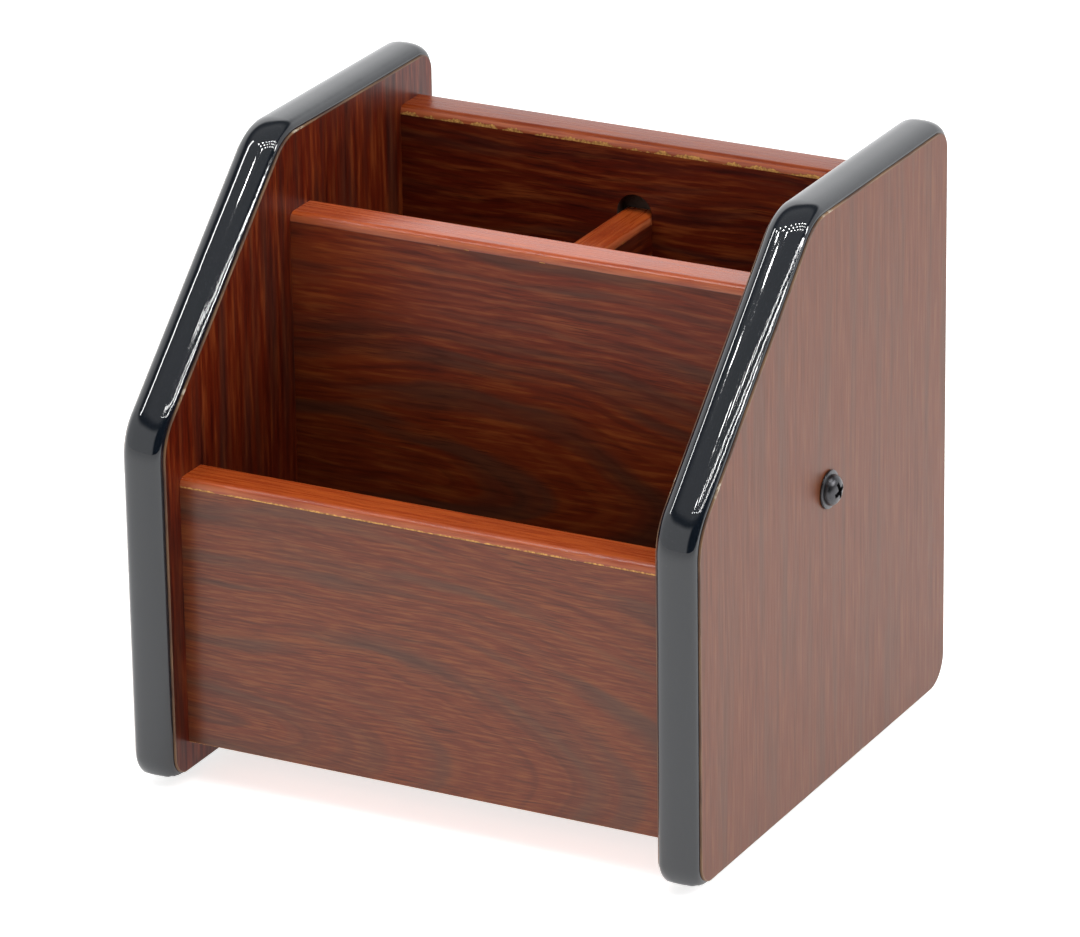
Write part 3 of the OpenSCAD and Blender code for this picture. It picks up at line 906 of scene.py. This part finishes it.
def led_row(name, path, offset, first, count, lamps):
    """A row of small square lamps under the ceiling, LAMP_STEP apart to the right of first.

    path and offset give how far away each one lies, and lamps is (radiance, size at first,
    size at last).
    """
    radiance, first_size, last_size = lamps
    for k in range(count):
        lamp = bpy.data.lights.new(f"{name}_{k}", "AREA")
        lamp.shape = "SQUARE"
        lamp.size = first_size + (last_size - first_size) * k / (count - 1)
        lamp.energy = radiance * math.pi * lamp.size ** 2
        lamp_object = bpy.data.objects.new(lamp.name, lamp)
        right_way = first + LAMP_STEP * k
        where = studio_point(right_way, path(right_way) + offset, LAMP_HEIGHT)
        aim = (Vector((0, 0, 0.05)) - where).to_track_quat("-Z", "Y")
        lamp_object.matrix_world = Matrix.Translation(where) @ aim.to_matrix().to_4x4()
        bpy.context.scene.collection.objects.link(lamp_object)


def strip_lamp(name, first, last, width, radiance):
    """A narrow strip lamp under the ceiling between two points given as (right, away)."""
    start, end = studio_point(*first, LAMP_HEIGHT), studio_point(*last, LAMP_HEIGHT)
    lamp = bpy.data.lights.new(name, "AREA")
    lamp.shape = "RECTANGLE"
    lamp.size, lamp.size_y = (end - start).length, width
    lamp.energy = radiance * math.pi * lamp.size * lamp.size_y
    lamp_object = bpy.data.objects.new(name, lamp)
    along = (end - start).normalized()
    up = Vector((0, 0, 1))
    axes = Matrix((along, up.cross(along), up)).transposed().to_4x4()
    lamp_object.matrix_world = Matrix.Translation((start + end) / 2) @ axes
    bpy.context.scene.collection.objects.link(lamp_object)


def studio_world():
    """White walls under a grey ceiling, brighter at the back, with a dark opening to one side."""
    world = bpy.data.worlds.new("studio")
    bpy.context.scene.world = world
    world.use_nodes = True
    tree = world.node_tree
    direction = tree.nodes.new("ShaderNodeTexCoord").outputs["Generated"]

    def smooth(value, low, high, to_low, to_high):
        node = tree.nodes.new("ShaderNodeMapRange")
        node.interpolation_type = "SMOOTHSTEP"
        tree.links.new(value, node.inputs["Value"])
        for key, number in (("From Min", low), ("From Max", high), ("To Min", to_low), ("To Max", to_high)):
            node.inputs[key].default_value = number
        return node.outputs["Result"]

    def combine(operation, a, b):
        node = tree.nodes.new("ShaderNodeMath")
        node.operation = operation
        tree.links.new(a, node.inputs[0])
        tree.links.new(b, node.inputs[1])
        return node.outputs[0]

    def along(azimuth):
        node = tree.nodes.new("ShaderNodeVectorMath")
        node.operation = "DOT_PRODUCT"
        tree.links.new(direction, node.inputs[0])
        node.inputs[1].default_value = (math.sin(azimuth), -math.cos(azimuth), 0)
        return node.outputs["Value"]

    # height is the sine of a direction's angle above level
    split = tree.nodes.new("ShaderNodeSeparateXYZ")
    tree.links.new(direction, split.inputs[0])
    height = split.outputs[2]
    wall = combine("MULTIPLY", smooth(height, 0.54, 0.66, WALL_LIGHT, 0.1),
                   smooth(along(CAMERA_AZIMUTH + math.pi), 0.3, 0.7, 1, REAR_WALL))
    room = combine("ADD", wall, smooth(height, 0.70, 0.84, 0, CEILING_LIGHT))
    opening = combine("MULTIPLY", smooth(along(OPENING_AZIMUTH), 0.58, 0.72, 0, 1),
                      smooth(height, 0.60, 0.70, 1, 0))
    closed = tree.nodes.new("ShaderNodeMath")
    closed.operation = "SUBTRACT"
    closed.inputs[0].default_value = 1
    tree.links.new(opening, closed.inputs[1])
    background = tree.nodes["Background"]
    background.inputs["Color"].default_value = (0.985, 0.99, 1.0, 1)
    tree.links.new(combine("MULTIPLY", room, closed.outputs[0]), background.inputs["Strength"])


def rear_path(right_way):
    """How far away the rear lamp row lies: a straight line."""
    return -0.052 - 0.2 * right_way


def front_path(right_way):
    """How far away the front lamp row lies: it levels off to the right."""
    return -0.30 + 0.09 * math.exp(-(right_way + 0.06) / 0.2)


def add_lamps():
    """Two groups of three staggered rows, and three strips that fill in beside them."""
    for k in range(3):
        stagger, offset = LAMP_STEP / 2 * (k % 2), ROW_STEP * (k - 1)
        led_row(f"rear_led_{k}", rear_path, offset, -0.21 + stagger, 9, (110, 0.009, 0.009))
        led_row(f"front_led_{k}", front_path, offset, -0.06 + stagger, 22, (75, 0.008, 0.013))
    strip_lamp("left_strip", (-0.50, 0.0), (-0.25, 0.10), 0.020, 24)
    strip_lamp("right_strip", (0.35, -0.245), (1.6, -0.26), 0.006, 40)
    strip_lamp("rear_strip", (0.45, -0.10), (0.80, -0.17), 0.050, 30)


pale_floor()
add_camera()
studio_world()
add_lamps()
bpy.context.scene.view_settings.view_transform = "Standard"
